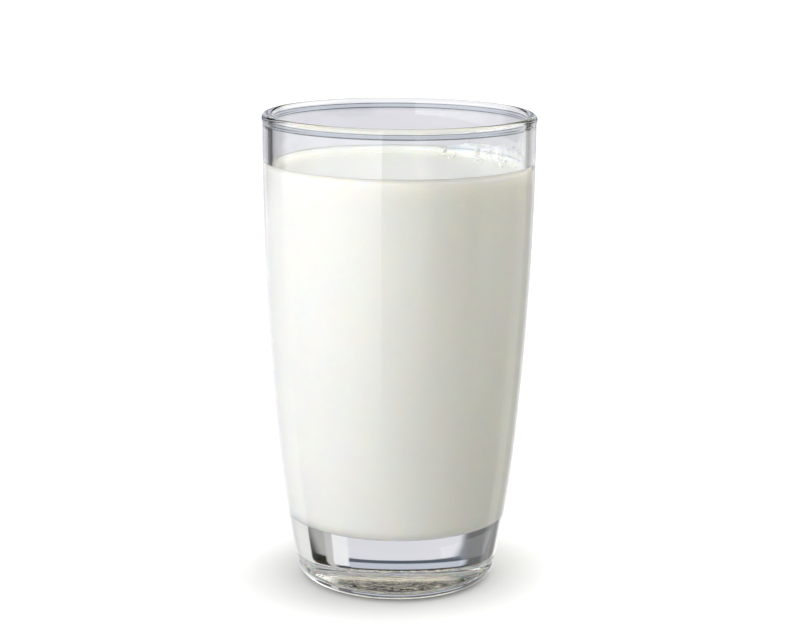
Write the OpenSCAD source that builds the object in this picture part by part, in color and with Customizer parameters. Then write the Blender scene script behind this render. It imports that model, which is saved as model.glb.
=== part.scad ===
// A tumbler of clear pressed glass with a heavy base, filled with milk.
// The origin is at the middle of the ring it stands on, and +Z is up. Sizes are in millimetres.

/* [Glass] */
// Outer diameter of the rounded rim
mouth_d = 76; // [64:0.5:96]
// Height from the table to the top of the rim
glass_h = 132.8; // [100:0.1:170]
// Diameter at the table that the long curve of the side runs down to
foot_d = 57.4; // [44:0.2:64]
// How far that long curve bulges past a straight line, half way up
side_bulge = 2.4; // [0.5:0.1:4]
// Radius of the tighter curve low down on the side
low_curve_r = 380; // [200:10:700]
// Height at which the tighter curve takes over
low_curve_h = 40; // [40:1:60]
// Thickness of the wall
wall_t = 2.6; // [1.6:0.1:3.6]
// Thickness of the solid glass under the milk
base_t = 18.5; // [8:0.2:28]
// Radius of the inside corner between the wall and the floor
floor_corner_r = 4; // [1:0.5:8]
// Radius of the rounded heel outside
heel_r = 5.5; // [0.6:0.1:6]

/* [Rim] */
// How far the rim's bead stands out past the wall outside
bead_out = 0.25; // [0.05:0.05:0.6]
// How far the bead stands out past the wall inside
bead_in = 0.15; // [0.05:0.05:0.6]

/* [Underside] */
// Width of the flat ring that rests on the table
rest_ring_w = 3; // [1.5:0.5:8]
// Depth of the hollow inside that ring
hollow_depth = 1.2; // [0.4:0.1:4]

/* [Milk] */
// Depth from the top of the rim down to the level surface of the milk
free_depth = 15.6; // [8:0.2:60]
// How far the milk climbs the glass at its edge
climb_h = 2.3; // [0.5:0.1:3]
// Width of the curved edge of the surface
climb_w = 3.6; // [2:0.1:8]
// Gap between the milk and the glass, which it wets
milk_gap = 0; // [0:0.01:0.3]

/* [Colours] */
// Colour of the glass
glass_colour = "#dfe8ec"; // ["#dfe8ec", "#cfe0dc"]
// How much of the glass colour shows
glass_alpha = 0.4; // [0.1:0.1:1]
// Colour of the milk
milk_colour = "#f4f2ea"; // ["#f4f2ea", "#ffffff"]

/* [Hidden] */

// Sides of what is round about the axis, and of the bead in section
ROUND = 96;
BEAD_ROUND = 48;
// Straight steps in a long stretch of the outline, and in a short one
LONG = 24;
SHORT = 8;

bead_r = (wall_t + bead_out + bead_in) / 2;
bead_centre = [mouth_d / 2 - bead_r, glass_h - bead_r];

// The side is an arc from the foot to the bead, whose sagitta is the bulge.
side_foot = [foot_d / 2, 0];
side_top = [mouth_d / 2 - bead_out, bead_centre.y];
side_chord = side_top - side_foot;
side_normal = [side_chord.y, -side_chord.x] / norm(side_chord);
side_r = pow(norm(side_chord), 2) / (8 * side_bulge) + side_bulge / 2;
side_centre = (side_foot + side_top) / 2 - (side_r - side_bulge) * side_normal;

// Low down, a tighter arc carries on from it in the same direction.
low_start = level_point(side_centre, side_r, low_curve_h);
low_centre = low_start + low_curve_r * (side_centre - low_start) / side_r;

// The heel touches the side and the table. The inside corner touches the bore and the floor.
heel_centre = level_point(low_centre, low_curve_r - heel_r, heel_r);
corner_centre = level_point(low_centre, low_curve_r - wall_t - floor_corner_r, base_t + floor_corner_r);

milk_level = glass_h - free_depth;
contact_z = milk_level + climb_h;

// Point at height z on a circle
function level_point(centre, r, z) = [centre.x + sqrt(pow(r, 2) - pow(z - centre.y, 2)), z];

// Direction of a point from a centre
function bearing(centre, p) = atan2(p.y - centre.y, p.x - centre.x);

// Points along an arc from one direction to another, both ends included
function arc(centre, r, from, to, steps) = [
    for (i = [0 : steps])
        let (a = from + (to - from) * i / steps)
        centre + r * [cos(a), sin(a)]
];

// Points on an arc between the directions of two points
function arc_between(centre, r, from, to, steps) =
    arc(centre, r, bearing(centre, from), bearing(centre, to), steps);

// Point at height z on the long curve of the side, set in from its outside by depth
function side_point(depth, z) = level_point(side_centre, side_r - depth, z);

// The side from low down up to a height, set in from its outside by depth
function side_line(depth, from, top_z) = concat(
    arc_between(low_centre, low_curve_r - depth, from, low_start, SHORT),
    arc_between(side_centre, side_r - depth, low_start, side_point(depth, top_z), LONG)
);

// The hollow of the underside, from its middle out to the resting ring
function hollow_line() = [
    for (i = [0 : SHORT])
        let (a = 90 * i / SHORT)
        [(heel_centre.x - rest_ring_w) * sin(a), hollow_depth * cos(a)]
];

// The wetted bore from the middle of the floor up to the milk's edge, made smaller all round by gap
function wet_line(gap) = concat(
    [[0, base_t + gap]],
    arc(corner_centre, floor_corner_r - gap, -90, bearing(low_centre, corner_centre), SHORT),
    side_line(wall_t + gap, corner_centre, contact_z)
);

// The dry bore from the milk's edge up to the bead
function dry_line() = arc_between(
    side_centre, side_r - wall_t, side_point(wall_t, contact_z), side_point(wall_t, bead_centre.y), SHORT
);

// The outside from the resting ring up to the bead
function outer_line() = concat(
    arc(heel_centre, heel_r, -90, bearing(low_centre, heel_centre), SHORT),
    side_line(0, heel_centre, side_top.y)
);

// The curved edge of the milk, from the glass in to the level surface
function climb_line(wall_x) = [
    for (i = [1 : SHORT])
        [wall_x - climb_w * i / SHORT, milk_level + climb_h * pow(1 - i / SHORT, 2)]
];

function reversed(list) = [for (i = [len(list) - 1 : -1 : 0]) list[i]];

// The tumbler: heavy base, wall and rounded rim in one piece of glass
module glass() {
    color(glass_colour, glass_alpha)
    rotate_extrude($fn = ROUND) {
        polygon(concat(hollow_line(), outer_line(), reversed(concat(wet_line(0), dry_line()))));
        translate(bead_centre) circle(bead_r, $fn = BEAD_ROUND);
    }
}

// The milk, from the floor of the bore up to its level surface
module milk() {
    wetted = wet_line(milk_gap);
    wall_x = wetted[len(wetted) - 1].x;
    color(milk_colour)
    rotate_extrude($fn = ROUND)
        polygon(concat(wetted, climb_line(wall_x), [[0, milk_level]]));
}

glass();
milk();
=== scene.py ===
"""A glass of milk: a clear pressed tumbler with a heavy base, its milk, and the film and bubbles at the edge.

The file is laid out as an add-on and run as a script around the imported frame. Sizes are in metres.
"""

import math
import random
from collections import namedtuple

import bpy
from bpy.props import FloatProperty, FloatVectorProperty, IntProperty, PointerProperty
from mathutils import Matrix, Vector, noise


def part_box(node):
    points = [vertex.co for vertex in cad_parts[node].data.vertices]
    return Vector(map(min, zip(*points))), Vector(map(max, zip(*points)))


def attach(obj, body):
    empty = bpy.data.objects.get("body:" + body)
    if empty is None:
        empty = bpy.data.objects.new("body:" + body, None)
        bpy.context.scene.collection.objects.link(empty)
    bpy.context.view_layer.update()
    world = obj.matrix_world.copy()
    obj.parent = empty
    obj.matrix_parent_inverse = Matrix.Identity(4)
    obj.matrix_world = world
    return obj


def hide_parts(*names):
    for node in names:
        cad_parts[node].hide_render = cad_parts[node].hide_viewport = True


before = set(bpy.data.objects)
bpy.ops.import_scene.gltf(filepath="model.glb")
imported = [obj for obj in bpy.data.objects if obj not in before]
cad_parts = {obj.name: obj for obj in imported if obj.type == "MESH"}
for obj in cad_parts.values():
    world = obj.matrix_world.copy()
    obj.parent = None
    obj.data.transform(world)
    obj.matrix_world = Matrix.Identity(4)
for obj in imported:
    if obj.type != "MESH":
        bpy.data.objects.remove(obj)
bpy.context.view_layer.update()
GLASS_LOW, GLASS_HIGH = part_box("glass")
MILK_LOW, MILK_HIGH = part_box("milk")

bl_info = {
    "name": "Glass of Milk",
    "version": (1, 0, 0),
    "blender": (4, 5, 0),
    "location": "View3D > Sidebar > Milk",
    "description": "Models a tumbler of milk: the glass, the milk, and the film and bubbles at its edge",
    "category": "Add Mesh",
}

# The axis that outlines are turned round, and the one that their arcs are drawn round
UPRIGHT = (0, 0, 1)
INTO_SECTION = (0, 1, 0)

# How finely the pieces are divided
LONG_STEPS = 48
CORNER_STEPS = 10
BEAD_STEPS = 28
ROUND_STEPS = 240
FILM_ROWS = 10
FILM_STEPS = 120
BUBBLE_SEGMENTS = 16
BUBBLE_RINGS = 10

# The film's upper edge: the share of its height that it has on average and at least, and the waves along it,
# each as waves to the radian, row of the noise and share of the height
FILM_MEAN = 0.6
FILM_LEAST = 0.04
FILM_WAVES = ((5, 0, 0.4), (17, 3, 0.16))
FILM_OFFSET = 0.2

# The bubbles: their smallest radius as a share of the largest, and how strongly small ones prevail
BUBBLE_SMALLEST = 0.25
BUBBLE_PREVAIL = 1.6
# How far in they spread, in widths of the milk's curved edge, and their gap to the wall and rise, in radii
BUBBLE_SPREAD = 2.2
BUBBLE_GAP = 0.8
BUBBLE_RISE = 0.3
# Where along the film they start, and how much of it they take
BUBBLE_START = 0.18
BUBBLE_RUN = 0.8

# Finishes
GLASS_IOR = 1.52
BUBBLE_IOR = 1.34
MILK_BODY = {
    "IOR": 1.35,
    "Subsurface Weight": 1.0,
    "Subsurface Radius": (1.0, 0.8, 0.55),
    "Subsurface Scale": 0.003,
}
UNDERSIDE_TOP = 1.6
UNDERSIDE_FULL = 1.1
UNDERSIDE_ROUGHNESS = 0.005
UNDERSIDE_RIPPLE = 0.17
WALL_RIPPLE = 0.008
BUBBLE_CLEAR = (0.96, 0.96, 0.95)
BUBBLE_MILKY = (0.88, 0.89, 0.88)
TABLE_AS_LIGHT = (0.8, 0.8, 0.81)
TABLE_AS_SEEN = (0.3, 0.3, 0.3)
WHITE = (1, 1, 1)

# Kinds of socket in node groups
NUMBER = "NodeSocketFloat"
VECTOR = "NodeSocketVector"
COLOUR = "NodeSocketColor"

SENSOR_WIDTH = 36


class TumblerSizes(bpy.types.PropertyGroup):
    """Sizes and tints of the glass."""

    rim_radius: FloatProperty(
        name="Rim radius", description="Outer radius of the rounded rim", default=GLASS_HIGH[0], unit="LENGTH"
    )
    height: FloatProperty(
        name="Height", description="Height of the rim above the table", default=GLASS_HIGH[2], unit="LENGTH"
    )
    foot_radius: FloatProperty(
        name="Foot radius", description="Radius that the side's long curve runs down to", default=0.0287,
        unit="LENGTH",
    )
    bulge: FloatProperty(
        name="Bulge", description="How far that curve bulges past a straight line", default=0.0024,
        unit="LENGTH",
    )
    low_radius: FloatProperty(
        name="Low curve", description="Radius of the tighter curve low on the side", default=0.380,
        unit="LENGTH",
    )
    low_height: FloatProperty(
        name="Low curve's height", description="Height where the tighter curve takes over", default=0.040,
        unit="LENGTH",
    )
    wall: FloatProperty(name="Wall", description="Thickness of the wall", default=0.0026, unit="LENGTH")
    base: FloatProperty(
        name="Base", description="Thickness of the solid glass base", default=MILK_LOW[2], unit="LENGTH"
    )
    floor_corner: FloatProperty(
        name="Floor corner", description="Radius inside, between wall and floor", default=0.004, unit="LENGTH"
    )
    heel: FloatProperty(name="Heel", description="Radius of the rounded heel", default=0.0055, unit="LENGTH")
    bead_out: FloatProperty(
        name="Bead outside", description="How far the rim's bead stands out", default=0.00025, unit="LENGTH"
    )
    bead_in: FloatProperty(
        name="Bead inside", description="How far the bead stands in", default=0.00015, unit="LENGTH"
    )
    neck: FloatProperty(
        name="Neck", description="Radius of the soft neck under the bead", default=0.003, unit="LENGTH"
    )
    rest_ring: FloatProperty(
        name="Resting ring", description="Width of the ring it stands on", default=0.003, unit="LENGTH"
    )
    hollow: FloatProperty(
        name="Hollow", description="Depth of the hollow underside", default=0.0012, unit="LENGTH"
    )
    clear: FloatVectorProperty(
        name="Clear", description="Tint of the glass", subtype="COLOR", default=(0.985, 0.992, 0.992)
    )
    underside: FloatVectorProperty(
        name="Underside", description="Tint of its underside", subtype="COLOR", default=(0.93, 0.95, 0.94)
    )


class MilkSizes(bpy.types.PropertyGroup):
    """Sizes and colours of the milk."""

    contact: FloatProperty(
        name="Edge", description="Height at which the milk's edge meets the glass", default=MILK_HIGH[2],
        unit="LENGTH",
    )
    climb_height: FloatProperty(
        name="Climb", description="How far the edge climbs the glass", default=0.0023, unit="LENGTH"
    )
    climb_width: FloatProperty(
        name="Climb width", description="Width of the curved edge", default=0.0036, unit="LENGTH"
    )
    reach: FloatProperty(
        name="Reach", description="How far the milk reaches into the wall", default=0.00015, unit="LENGTH"
    )
    colour: FloatVectorProperty(
        name="Milk", description="Colour of the milk", subtype="COLOR", default=(0.97, 0.965, 0.94)
    )
    cream: FloatVectorProperty(
        name="Cream", description="Colour of its faint clouds", subtype="COLOR", default=(0.965, 0.955, 0.92)
    )
    # Painted shade: the darker colour given to the milk's upward-facing surface, standing in for how the
    # light falls on its top
    skin: FloatVectorProperty(
        name="Skin", description="Colour of the milk's surface", subtype="COLOR", default=(0.85, 0.85, 0.83)
    )
    film_height: FloatProperty(
        name="Film", description="How far the film clings above the milk's edge", default=0.0045,
        unit="LENGTH",
    )
    film_thickness: FloatProperty(
        name="Film's thickness", description="Thickness of the film", default=0.00025, unit="LENGTH"
    )
    film_start: FloatProperty(
        name="Film's start", description="Where the film starts, round from the right towards the front",
        default=math.radians(-14), unit="ROTATION", subtype="ANGLE",
    )
    film_turn: FloatProperty(
        name="Film's turn", description="How far round the film goes, towards the back",
        default=math.radians(84), unit="ROTATION", subtype="ANGLE",
    )
    bubbles: IntProperty(name="Bubbles", description="How many bubbles cling to the milk's edge", default=34)
    bubble_radius: FloatProperty(
        name="Bubble", description="Radius of the largest bubble", default=0.0011, unit="LENGTH"
    )
    seed: IntProperty(name="Seed", description="Seed of the bubbles and the film's edge", default=7)


# Drawing an outline and turning it round the axis


def bearing(centre, point):
    """The direction of a point from a centre, in the section."""
    return math.atan2(point.y - centre.y, point.x - centre.x)


def on_circle(centre, radius, angle):
    """The point on a circle at an angle."""
    return centre + radius * Vector((math.cos(angle), math.sin(angle)))


def crossing(centre_a, radius_a, centre_b, radius_b, side):
    """Where two circles cross, on the left (1) or the right (-1) of the line from a to b."""
    apart = centre_b - centre_a
    along = (apart.length_squared + radius_a**2 - radius_b**2) / (2 * apart.length)
    across = math.sqrt(radius_a**2 - along**2)
    ahead = apart.normalized()
    return centre_a + along * ahead + side * across * Vector((-ahead.y, ahead.x))


class Outline:
    """Half a section, drawn by one moving vertex in the XZ plane."""

    def __init__(self, name, start):
        bpy.ops.object.select_all(action="DESELECT")
        bpy.ops.mesh.primitive_plane_add(size=0.001, location=(start.x, 0, start.y))
        self.piece = bpy.context.object
        self.piece.name = name
        bpy.ops.object.transform_apply(location=True, rotation=True, scale=True)
        bpy.ops.object.mode_set(mode="EDIT")
        bpy.ops.mesh.select_all(action="SELECT")
        bpy.ops.mesh.merge(type="CENTER")
        self.at = start

    def line_to(self, point):
        """Draws a straight line."""
        step = point - self.at
        bpy.ops.mesh.extrude_region_move(TRANSFORM_OT_translate={"value": (step.x, 0, step.y)})
        self.at = point

    def arc(self, centre, angle, steps):
        """Draws an arc about a centre, anticlockwise where the angle is positive."""
        bpy.ops.mesh.spin(steps=steps, angle=angle, center=(centre.x, 0, centre.y), axis=INTO_SECTION)
        radius = (self.at - centre).length
        self.at = on_circle(centre, radius, bearing(centre, self.at) + angle)

    def arc_to(self, centre, point, steps):
        """Draws the shorter arc about a centre to the direction of a point."""
        angle = bearing(centre, point) - bearing(centre, self.at)
        self.arc(centre, math.remainder(angle, math.tau), steps)

    def turned(self, steps):
        """Turns the outline round the axis into a closed solid."""
        bpy.ops.mesh.select_all(action="SELECT")
        bpy.ops.mesh.spin(steps=steps, angle=math.tau, center=(0, 0, 0), axis=UPRIGHT)
        bpy.ops.mesh.select_all(action="SELECT")
        bpy.ops.mesh.remove_doubles(threshold=1e-6)
        bpy.ops.mesh.normals_make_consistent(inside=False)
        bpy.ops.mesh.select_all(action="DESELECT")
        bpy.ops.object.mode_set(mode="OBJECT")
        bpy.ops.object.shade_smooth()
        return self.piece


def level(centre, radius, height):
    """The point at a height on a circle."""
    return Vector((centre.x + math.sqrt(radius**2 - (height - centre.y) ** 2), height))


class Side:
    """The two arcs that the glass's side follows, a long one and a tighter one low down."""

    def __init__(self, s):
        self.bead_radius = (s.wall + s.bead_out + s.bead_in) / 2
        self.bead = Vector((s.rim_radius - self.bead_radius, s.height - self.bead_radius))
        foot = Vector((s.foot_radius, 0))
        top = Vector((s.rim_radius - s.bead_out, self.bead.y))
        chord = top - foot
        outward = Vector((chord.y, -chord.x)).normalized()
        self.radius = chord.length_squared / (8 * s.bulge) + s.bulge / 2
        self.centre = (foot + top) / 2 - (self.radius - s.bulge) * outward
        self.join = level(self.centre, self.radius, s.low_height)
        self.low_radius = s.low_radius
        self.low_centre = self.join + s.low_radius * (self.centre - self.join) / self.radius
        self.heel = level(self.low_centre, s.low_radius - s.heel, s.heel)
        self.corner = level(self.low_centre, s.low_radius - s.wall - s.floor_corner, s.base + s.floor_corner)

    def low(self, depth, point):
        """The point on the low curve, set in by a depth, in the direction of another point."""
        return on_circle(self.low_centre, self.low_radius - depth, bearing(self.low_centre, point))


# Materials


def feed(tree, node, values):
    """Sets a node's inputs, by name or number, each to a plain value or from another node's output."""
    for key, value in values.items():
        if isinstance(value, bpy.types.NodeSocket):
            tree.links.new(value, node.inputs[key])
        else:
            node.inputs[key].default_value = value


def add_node(tree, kind, values=None, **settings):
    """A node with some of its settings and inputs."""
    node = tree.nodes.new(kind)
    for key, value in settings.items():
        setattr(node, key, value)
    feed(tree, node, values or {})
    return node


def math_node(tree, operation, *values):
    """The output of a Math node on values that are each an output or a number."""
    return add_node(tree, "ShaderNodeMath", dict(enumerate(values)), operation=operation).outputs[0]


def soft_step(tree, value, start, end):
    """A smooth rise from 0 to 1 between two values."""
    given = {"Value": value, "From Min": start, "From Max": end}
    return add_node(tree, "ShaderNodeMapRange", given, interpolation_type="SMOOTHSTEP").outputs["Result"]


def band(tree, value, low, high, soft_low, soft_high):
    """1 between two values, with a soft edge at each."""
    rise = soft_step(tree, value, low - soft_low, low + soft_low)
    fall = soft_step(tree, value, high + soft_high, high - soft_high)
    return math_node(tree, "MULTIPLY", rise, fall)


def opaque(colour):
    """A colour with its alpha."""
    return (*colour, 1)


def blend(tree, amount, first, second):
    """A colour between two, each an output or a colour with its alpha."""
    given = {"Factor": amount, "A": first, "B": second}
    return add_node(tree, "ShaderNodeMix", given, data_type="RGBA").outputs["Result"]


def object_place(tree):
    """The place of the shaded point, in metres."""
    return add_node(tree, "ShaderNodeTexCoord").outputs["Object"]


def upward_part(tree, vector):
    """The upright part of a vector."""
    return add_node(tree, "ShaderNodeSeparateXYZ", {0: vector}).outputs["Z"]


def height_above_table(tree):
    """Height of the shaded point, in metres."""
    return upward_part(tree, object_place(tree))


def new_group(name, inputs, outputs):
    """A node group whose inputs and outputs each have a name and a kind of socket."""
    group = bpy.data.node_groups.new(name, "ShaderNodeTree")
    for way, sockets in (("INPUT", inputs), ("OUTPUT", outputs)):
        for socket, kind in sockets.items():
            group.interface.new_socket(socket, in_out=way, socket_type=kind)
    return group, add_node(group, "NodeGroupInput").outputs, add_node(group, "NodeGroupOutput")


def use_group(tree, name, build, values):
    """A group's node with its own values. The group is built when it is first used."""
    group = bpy.data.node_groups.get(name) or build()
    return add_node(tree, "ShaderNodeGroup", values, node_tree=group)


def ripple_group():
    """A node group that puts out a normal with small uneven ripples."""
    numbers = dict.fromkeys(("Size", "Flatten", "Detail", "Strength", "Depth"), NUMBER)
    group, given, out = new_group("Ripples", numbers, {"Normal": VECTOR})
    squash = add_node(group, "ShaderNodeCombineXYZ", {"X": 1, "Y": 1, "Z": given["Flatten"]})
    place = {0: object_place(group), 1: squash.outputs[0]}
    place = add_node(group, "ShaderNodeVectorMath", place, operation="MULTIPLY").outputs[0]
    waves = {"Vector": place, "Scale": given["Size"], "Detail": given["Detail"]}
    waves = add_node(group, "ShaderNodeTexNoise", waves).outputs["Fac"]
    bump = {"Height": waves, "Strength": given["Strength"], "Distance": given["Depth"]}
    feed(group, out, {"Normal": add_node(group, "ShaderNodeBump", bump).outputs[0]})
    return group


def ripples(tree, size, flatten, detail, strength, depth):
    """A normal with ripples: waves to the metre, upright squash, detail, strength, and depth in metres."""
    given = {"Size": size, "Flatten": flatten, "Detail": detail, "Strength": strength, "Depth": depth}
    return use_group(tree, "Ripples", ripple_group, given).outputs["Normal"]


def cloud_group():
    """A node group that puts out soft clouds, as an amount and as a colour between two."""
    group, given, out = new_group(
        "Clouds", {"Size": NUMBER, "Detail": NUMBER, "Base": COLOUR, "Tint": COLOUR},
        {"Amount": NUMBER, "Colour": COLOUR},
    )
    waves = {"Vector": object_place(group), "Scale": given["Size"], "Detail": given["Detail"]}
    amount = add_node(group, "ShaderNodeTexNoise", waves).outputs["Fac"]
    feed(group, out, {"Amount": amount, "Colour": blend(group, amount, given["Base"], given["Tint"])})
    return group


def clouds(tree, size, detail, base, tint):
    """Soft clouds, with so many waves to the metre: their amount, and a colour between two."""
    given = {"Size": size, "Detail": detail, "Base": opaque(base), "Tint": opaque(tint)}
    node = use_group(tree, "Clouds", cloud_group, given)
    return node.outputs["Amount"], node.outputs["Colour"]


def new_material(name):
    """A node material with its Principled BSDF."""
    material = bpy.data.materials.new(name)
    material.use_nodes = True
    return material, material.node_tree, material.node_tree.nodes["Principled BSDF"]


def clear_glass(sizes):
    """Clear soda-lime glass: long waves in the pressed wall, and an orange-peel texture underneath."""
    material, tree, shader = new_material("Clear glass")
    height = height_above_table(tree)
    below = soft_step(tree, height, sizes.hollow * UNDERSIDE_TOP, sizes.hollow * UNDERSIDE_FULL)
    strength = math_node(tree, "MULTIPLY_ADD", below, UNDERSIDE_RIPPLE, WALL_RIPPLE)
    feed(tree, shader, {
        "Base Color": blend(tree, below, opaque(sizes.clear), opaque(sizes.underside)),
        "Roughness": math_node(tree, "MULTIPLY", below, UNDERSIDE_ROUGHNESS),
        "IOR": GLASS_IOR,
        "Transmission Weight": 1.0,
        "Normal": ripples(tree, size=420, flatten=0.25, detail=3, strength=strength, depth=0.001),
    })
    return material


def white_milk(sizes):
    """Milk, wet and softly translucent, a little creamier in faint clouds, with its upward-facing top given a
    darker colour as painted shade.
    """
    material, tree, shader = new_material("Milk")
    amount, tone = clouds(tree, size=60, detail=2, base=sizes.colour, tint=sizes.cream)
    facing = add_node(tree, "ShaderNodeNewGeometry").outputs["Normal"]
    # Painted shade: where the surface faces up, the milk's colour blends to the darker top colour
    top = soft_step(tree, upward_part(tree, facing), start=0.3, end=0.9)
    feed(tree, shader, {
        "Base Color": blend(tree, top, tone, opaque(sizes.skin)),
        "Roughness": math_node(tree, "MULTIPLY_ADD", amount, 0.12, 0.1),
        "Normal": ripples(tree, size=90, flatten=1, detail=1, strength=0.12, depth=0.0004),
        **MILK_BODY,
    })
    return material


def milky_film(sizes):
    """The thin streaky film of milk that clings to the glass, thicker low down."""
    material, tree, shader = new_material("Milk film")
    streaks, tone = clouds(tree, size=260, detail=3, base=sizes.colour, tint=sizes.cream)
    bare_above = sizes.contact + sizes.film_height
    full_below = sizes.contact - sizes.film_height * 0.3
    fade = soft_step(tree, height_above_table(tree), bare_above, full_below)
    cover = math_node(tree, "ADD", fade, math_node(tree, "MULTIPLY_ADD", streaks, 0.7, -0.35))
    feed(tree, shader, {
        "Base Color": tone,
        "Alpha": soft_step(tree, cover, start=0.0, end=1.1),
        "Roughness": 0.2,
        "Normal": ripples(tree, size=300, flatten=0.5, detail=2, strength=0.3, depth=0.0004),
        **MILK_BODY,
    })
    return material


def bubble_skin():
    """The wet clear skin of a bubble, with milky swirls and a fuller edge."""
    material, tree, shader = new_material("Bubble skin")
    edge = add_node(tree, "ShaderNodeLayerWeight", {"Blend": 0.35}).outputs["Facing"]
    swirl, tone = clouds(tree, size=700, detail=2, base=BUBBLE_CLEAR, tint=BUBBLE_MILKY)
    feed(tree, shader, {
        "Base Color": tone,
        "Alpha": math_node(tree, "ADD", math_node(tree, "MULTIPLY_ADD", swirl, 0.4, 0.1), edge),
        "Roughness": 0.05,
        "IOR": BUBBLE_IOR,
    })
    return material


# Operators


class MILK_OT_tumbler(bpy.types.Operator):
    """Model the clear tumbler"""

    bl_idname = "milk.tumbler"
    bl_label = "Tumbler"

    def execute(self, context):
        s = context.scene.tumbler_sizes
        side = Side(s)
        bore = side.radius - s.wall
        reach = side.bead_radius + s.neck
        outer_neck = crossing(side.centre, side.radius + s.neck, side.bead, reach, -1)
        inner_neck = crossing(side.centre, bore - s.neck, side.bead, reach, -1)
        ring_inner = side.heel.x - s.rest_ring

        line = Outline("tumbler", Vector((0, s.hollow)))
        line.line_to(Vector((ring_inner - s.hollow, s.hollow)))
        line.arc(Vector((ring_inner - s.hollow, 0)), -math.pi / 2, CORNER_STEPS)
        line.line_to(Vector((side.heel.x, 0)))
        line.arc_to(side.heel, side.low(0, side.heel), CORNER_STEPS)
        line.arc_to(side.low_centre, side.join, LONG_STEPS)
        line.arc_to(side.centre, outer_neck, LONG_STEPS)
        line.arc_to(outer_neck, side.bead, CORNER_STEPS)
        over = bearing(side.bead, inner_neck) - bearing(side.bead, outer_neck)
        line.arc(side.bead, over % math.tau, BEAD_STEPS)
        line.arc_to(inner_neck, on_circle(side.centre, bore, bearing(side.centre, inner_neck)), CORNER_STEPS)
        line.arc_to(side.centre, side.join, LONG_STEPS)
        line.arc_to(side.low_centre, side.corner, LONG_STEPS)
        line.arc_to(side.corner, side.corner - Vector((0, s.floor_corner)), CORNER_STEPS)
        line.line_to(Vector((0, s.base)))
        piece = line.turned(ROUND_STEPS)

        piece.data.materials.append(clear_glass(s))
        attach(piece, "root")
        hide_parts("glass")
        return {"FINISHED"}


class MILK_OT_milk(bpy.types.Operator):
    """Model the milk, which reaches just into the glass"""

    bl_idname = "milk.milk"
    bl_label = "Milk"

    def execute(self, context):
        s = context.scene.tumbler_sizes
        m = context.scene.milk_sizes
        side = Side(s)
        floor = s.base - m.reach
        edge = level(side.centre, side.radius - s.wall + m.reach, m.contact)
        climb_radius = (m.climb_width**2 + m.climb_height**2) / (2 * m.climb_height)
        surface = m.contact - m.climb_height
        dip = Vector((edge.x - m.climb_width, surface + climb_radius))

        line = Outline("milk_body", Vector((0, floor)))
        line.line_to(Vector((side.corner.x, floor)))
        line.arc_to(side.corner, side.low(s.wall - m.reach, side.corner), CORNER_STEPS)
        line.arc_to(side.low_centre, side.join, LONG_STEPS)
        line.arc_to(side.centre, edge, LONG_STEPS)
        line.arc_to(dip, dip - Vector((0, climb_radius)), CORNER_STEPS)
        line.line_to(Vector((0, surface)))
        piece = line.turned(ROUND_STEPS)

        piece.data.materials.append(white_milk(m))
        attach(piece, "root")
        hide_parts("milk")
        return {"FINISHED"}


def film_share(m, turn):
    """How much of its height the film has at a turn. Its edge is wavy, and runs down at both ends."""
    along = min(max((turn - m.film_start) / m.film_turn, 0.0), 1.0)
    taper = math.sqrt(math.sin(math.pi * along))
    share = FILM_MEAN
    for often, row, wave in FILM_WAVES:
        share += wave * noise.noise(Vector((turn * often + m.seed, row, 0)))
    return max(FILM_LEAST, min(1, share * taper))


class MILK_OT_film(bpy.types.Operator):
    """Model the film of milk that clings to the glass"""

    bl_idname = "milk.film"
    bl_label = "Milk film"

    def execute(self, context):
        s = context.scene.tumbler_sizes
        m = context.scene.milk_sizes
        side = Side(s)
        bore = side.radius - s.wall
        foot = level(side.centre, bore, m.contact - m.climb_height / 2)
        top = level(side.centre, bore, m.contact + m.film_height)

        line = Outline("milk_film", foot)
        line.arc_to(side.centre, top, FILM_ROWS)
        bpy.ops.mesh.select_all(action="SELECT")
        bpy.ops.mesh.spin(steps=FILM_STEPS, angle=m.film_turn, center=(0, 0, 0), axis=UPRIGHT)
        bpy.ops.object.mode_set(mode="OBJECT")
        piece = line.piece
        piece.rotation_euler.z = m.film_start + m.film_turn
        bpy.ops.object.transform_apply(rotation=True)
        for vertex in piece.data.vertices:
            share = film_share(m, math.atan2(vertex.co.y, vertex.co.x))
            vertex.co.z = foot.y + (vertex.co.z - foot.y) * share
        thick = piece.modifiers.new("Thick", "SOLIDIFY")
        thick.thickness = m.film_thickness
        thick.offset = FILM_OFFSET
        bpy.ops.object.modifier_apply(modifier=thick.name)
        bpy.ops.object.mode_set(mode="EDIT")
        bpy.ops.mesh.select_all(action="SELECT")
        bpy.ops.mesh.normals_make_consistent(inside=False)
        bpy.ops.object.mode_set(mode="OBJECT")
        bpy.ops.object.shade_smooth()

        piece.data.materials.append(milky_film(m))
        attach(piece, "root")
        return {"FINISHED"}


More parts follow.
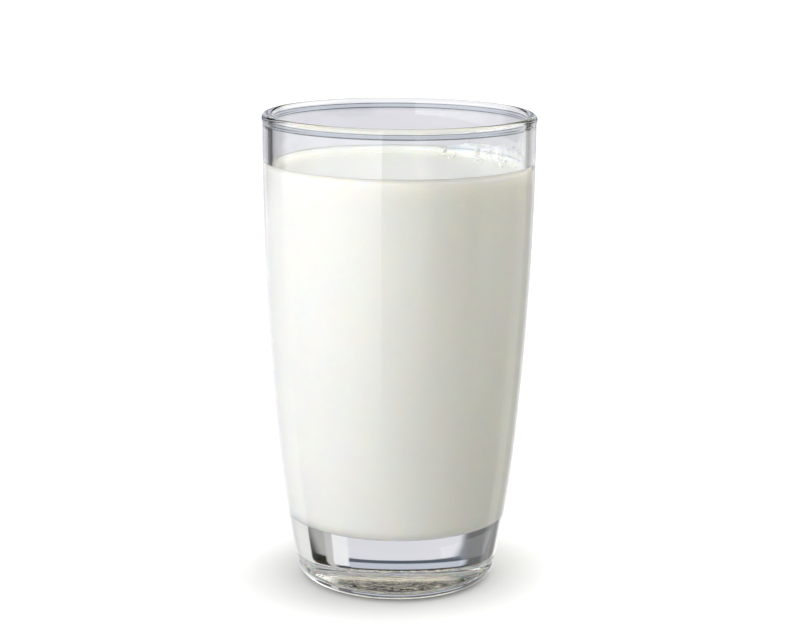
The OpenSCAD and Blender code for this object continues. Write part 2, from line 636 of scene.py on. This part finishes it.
class MILK_OT_bubbles(bpy.types.Operator):
    """Model the small bubbles at the milk's edge"""

    bl_idname = "milk.bubbles"
    bl_label = "Bubbles"

    def execute(self, context):
        s = context.scene.tumbler_sizes
        m = context.scene.milk_sizes
        side = Side(s)
        draw = random.Random(m.seed)
        edge = level(side.centre, side.radius - s.wall, m.contact).x
        bpy.ops.object.select_all(action="DESELECT")
        bpy.ops.mesh.primitive_uv_sphere_add(segments=BUBBLE_SEGMENTS, ring_count=BUBBLE_RINGS, radius=1)
        bpy.ops.object.shade_smooth()
        bubble = context.object
        made = []
        for _ in range(m.bubbles):
            radius = m.bubble_radius * draw.uniform(BUBBLE_SMALLEST, 1) ** BUBBLE_PREVAIL
            in_from_wall = draw.uniform(0, 1) ** 2 * m.climb_width * BUBBLE_SPREAD + radius * BUBBLE_GAP
            turn = m.film_start + m.film_turn * (BUBBLE_START + BUBBLE_RUN * draw.uniform(0, 1))
            left = max(0.0, 1 - in_from_wall / m.climb_width)
            height = m.contact - m.climb_height + m.climb_height * left**2 + radius * BUBBLE_RISE
            away = edge - in_from_wall
            copy = bubble.copy()
            copy.data = bubble.data.copy()
            copy.scale = (radius, radius, radius)
            copy.location = (away * math.cos(turn), away * math.sin(turn), height)
            context.scene.collection.objects.link(copy)
            made.append(copy)
        bpy.data.meshes.remove(bubble.data)
        for piece in made:
            piece.select_set(True)
        context.view_layer.objects.active = made[0]
        bpy.ops.object.transform_apply(location=True, rotation=True, scale=True)
        bpy.ops.object.join()
        piece = context.object
        piece.name = "bubbles"

        piece.data.materials.append(bubble_skin())
        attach(piece, "root")
        return {"FINISHED"}


# The studio


class Studio(bpy.types.PropertyGroup):
    """The camera and the light."""

    aside: FloatProperty(
        name="Aside", description="How far the camera stands to the right", default=0.0006, unit="LENGTH"
    )
    distance: FloatProperty(
        name="Distance", description="From the glass to the camera, level", default=0.570, unit="LENGTH"
    )
    eye_height: FloatProperty(
        name="Eye height", description="Height of the camera above the table", default=0.2008, unit="LENGTH"
    )
    pitch: FloatProperty(
        name="Pitch", description="How far the camera looks down", default=math.radians(12.41),
        unit="ROTATION", subtype="ANGLE",
    )
    roll: FloatProperty(
        name="Roll", description="How far the camera leans", default=math.radians(0.5), unit="ROTATION",
        subtype="ANGLE",
    )
    lens: FloatProperty(name="Lens", description="Focal length in millimetres", default=93.3)
    gain: FloatProperty(
        name="Gain", description="How much brighter the surroundings light things than they look",
        default=1.78,
    )
    lift: FloatProperty(
        name="Lift", description="Brightness added to the table top as the camera sees it", default=0.83
    )
    shadow_reach: FloatProperty(
        name="Shadow", description="How far the soft shadow reaches from the glass", default=0.024,
        unit="LENGTH",
    )
    floor_size: FloatProperty(
        name="Floor size", description="Side of the square floor", default=6.0, unit="LENGTH"
    )


# A soft-edged panel of the surroundings. Its edges are directions in degrees: left and right are turned from
# the camera's side, with + to the right, and low and high are above the table.
Panel = namedtuple("Panel", "name colour left right low high soft_left soft_right soft_low soft_high")
PANELS = (
    Panel("key", (1.0, 1.0, 1.02), -62, -14.5, -24, 50, 22, 0.6, 8, 6),
    Panel("key wall", (1.3, 1.3, 1.28), -80, -14.5, -18, 50, 16, 0.6, 8, 6),
    Panel("left wall", (1.2, 1.2, 1.17), -114, -70, -20, 50, 5, 18, 8, 6),
    Panel("front wall", (0.92, 0.94, 0.84), -15, 24, -20, 50, 1, 8, 8, 6),
    Panel("right gap", (0.1, 0.09, 0.02), 24, 72, -90, 60, 8, 8, 4, 4),
    Panel("right light", (0.7, 0.69, 0.63), 72, 119, -20, 50, 8, 4, 10, 6),
    Panel("right lamp", (1.5, 1.48, 1.37), 76, 150, 22, 64, 8, 8, 5, 5),
    Panel("right wall", (0.8, 0.8, 0.78), 119, 136.5, -90, 50, 4, 1, 4, 6),
    Panel("right sill", (0.43, 0.43, 0.42), 136.5, 149, -90, -4.5, 1, 1, 4, 0.8),
    Panel("right post", (0.56, 0.56, 0.55), 149, 153.5, -90, 20, 1, 0.6, 4, 4),
    Panel("bright post", (0.88, 0.88, 0.9), 153.5, 161.5, -90, 10, 0.6, 0.6, 4, 3),
    Panel("table", (0.95, 0.95, 0.98), 161.5, 206, -90, -11, 0.6, 5, 4, 2),
    Panel("table beyond", (0.74, 0.73, 0.79), 161.5, 209, -11, -6.1, 0.6, 3, 2, 0.5),
    Panel("table at the left", (0.75, 0.75, 0.78), 206, 246, -90, -9.5, 5, 4, 4, 1),
    Panel("dusk", (0.08, 0.1, 0.13), 161.5, 211, -6.1, -1.5, 0.6, 3, 0.5, 1),
    Panel("haze", (0.55, 0.58, 0.66), 161.5, 212, -1.5, 13.5, 0.6, 3, 1, 2),
    Panel("shelf", (0.02, 0.02, 0.03), 153.5, 212, 13.5, 23.5, 3, 3, 1, 1),
    Panel("back wall", (0.72, 0.67, 0.54), 153, 212, 23.5, 50, 6, 6, 1, 6),
    Panel("left dark", (0.12, 0.12, 0.125), 209, 246, -9.5, 15, 3, 4, 1, 3),
    Panel("ceiling", (0.2, 0.2, 0.2), -185, 180, 50, 100, 3, 3, 6, 3),
)


def light_world(studio):
    """The surroundings, as brightness by direction. The camera itself sees plain white past the table."""
    world = bpy.data.worlds.new("Studio")
    world.use_nodes = True
    tree = world.node_tree
    place = add_node(tree, "ShaderNodeTexCoord").outputs["Generated"]
    x, y, z = add_node(tree, "ShaderNodeSeparateXYZ", {0: place}).outputs
    front_turn = math_node(tree, "ARCTAN2", x, math_node(tree, "MULTIPLY", y, -1))
    front_turn = math_node(tree, "DEGREES", front_turn)
    back_turn = math_node(tree, "FLOORED_MODULO", front_turn, 360)
    height = math_node(tree, "DEGREES", math_node(tree, "ARCSINE", z))
    light = add_node(tree, "ShaderNodeCombineXYZ").outputs[0]
    for p in PANELS:
        turn = back_turn if p.right > 180 else front_turn
        across = band(tree, turn, p.left, p.right, p.soft_left, p.soft_right)
        upright = band(tree, height, p.low, p.high, p.soft_low, p.soft_high)
        given = {0: math_node(tree, "MULTIPLY", across, upright), 1: p.colour, 2: light}
        light = add_node(
            tree, "ShaderNodeVectorMath", given, operation="MULTIPLY_ADD", label=p.name
        ).outputs[0]
    path = add_node(tree, "ShaderNodeLightPath").outputs
    lighting = math_node(tree, "MINIMUM", path["Diffuse Depth"], 1)
    gain = math_node(tree, "MULTIPLY_ADD", lighting, studio.gain - 1, 1)
    light = add_node(tree, "ShaderNodeVectorMath", {0: light, "Scale": gain}, operation="SCALE").outputs[0]
    seen = blend(tree, path["Is Camera Ray"], light, opaque(WHITE))
    feed(tree, tree.nodes["Background"], {"Color": seen})
    bpy.context.scene.world = world


def table_top(studio):
    """A matt white table top. The camera sees it near white, with a soft shadow close round the glass."""
    material, tree, shader = new_material("Table top")
    seen = add_node(tree, "ShaderNodeLightPath").outputs["Is Camera Ray"]
    open_sky = add_node(tree, "ShaderNodeAmbientOcclusion", {"Distance": studio.shadow_reach}).outputs["AO"]
    lift = math_node(tree, "MULTIPLY", open_sky, studio.lift)
    feed(tree, shader, {
        "Base Color": blend(tree, seen, opaque(TABLE_AS_LIGHT), opaque(TABLE_AS_SEEN)),
        "Roughness": 1.0,
        "Specular IOR Level": 0.0,
        "Emission Color": math_node(tree, "MULTIPLY", lift, seen),
        "Emission Strength": 1.0,
    })
    return material


class MILK_OT_studio(bpy.types.Operator):
    """Set up the floor, the light and the camera"""

    bl_idname = "milk.studio"
    bl_label = "Studio"

    def execute(self, context):
        scene = context.scene
        studio = scene.studio
        bpy.ops.object.select_all(action="DESELECT")
        bpy.ops.mesh.primitive_plane_add(size=studio.floor_size, location=(0, 0, GLASS_LOW[2]))
        floor = context.object
        floor.name = "floor"
        floor.data.materials.append(table_top(studio))
        floor.visible_transmission = False
        floor.visible_glossy = False

        light_world(studio)

        camera_data = bpy.data.cameras.new("Camera")
        camera_data.sensor_width = SENSOR_WIDTH
        camera_data.lens = studio.lens
        camera = bpy.data.objects.new("Camera", camera_data)
        scene.collection.objects.link(camera)
        tilt = Matrix.Rotation(math.pi / 2 - studio.pitch, 4, "X")
        lean = Matrix.Rotation(studio.roll, 4, "Z")
        place = Matrix.Translation((studio.aside, -studio.distance, studio.eye_height))
        camera.matrix_world = place @ tilt @ lean
        scene.camera = camera
        scene.view_settings.view_transform = "Standard"
        return {"FINISHED"}


class MILK_PT_panel(bpy.types.Panel):
    """Lists the pieces of the glass of milk"""

    bl_idname = "MILK_PT_panel"
    bl_label = "Glass of Milk"
    bl_space_type = "VIEW_3D"
    bl_region_type = "UI"
    bl_category = "Milk"

    def draw(self, context):
        for operator in OPERATORS:
            self.layout.operator(operator.bl_idname)


OPERATORS = (MILK_OT_tumbler, MILK_OT_milk, MILK_OT_film, MILK_OT_bubbles, MILK_OT_studio)
CLASSES = (TumblerSizes, MilkSizes, Studio, *OPERATORS, MILK_PT_panel)


def register():
    """Registers the classes and the sizes."""
    for cls in CLASSES:
        bpy.utils.register_class(cls)
    bpy.types.Scene.tumbler_sizes = PointerProperty(type=TumblerSizes)
    bpy.types.Scene.milk_sizes = PointerProperty(type=MilkSizes)
    bpy.types.Scene.studio = PointerProperty(type=Studio)


def unregister():
    """Takes them away again."""
    del bpy.types.Scene.studio
    del bpy.types.Scene.milk_sizes
    del bpy.types.Scene.tumbler_sizes
    for cls in reversed(CLASSES):
        bpy.utils.unregister_class(cls)


def main():
    """Makes every piece in order."""
    register()
    bpy.ops.milk.tumbler()
    bpy.ops.milk.milk()
    bpy.ops.milk.film()
    bpy.ops.milk.bubbles()
    bpy.ops.milk.studio()


if __name__ == "__main__":
    main()
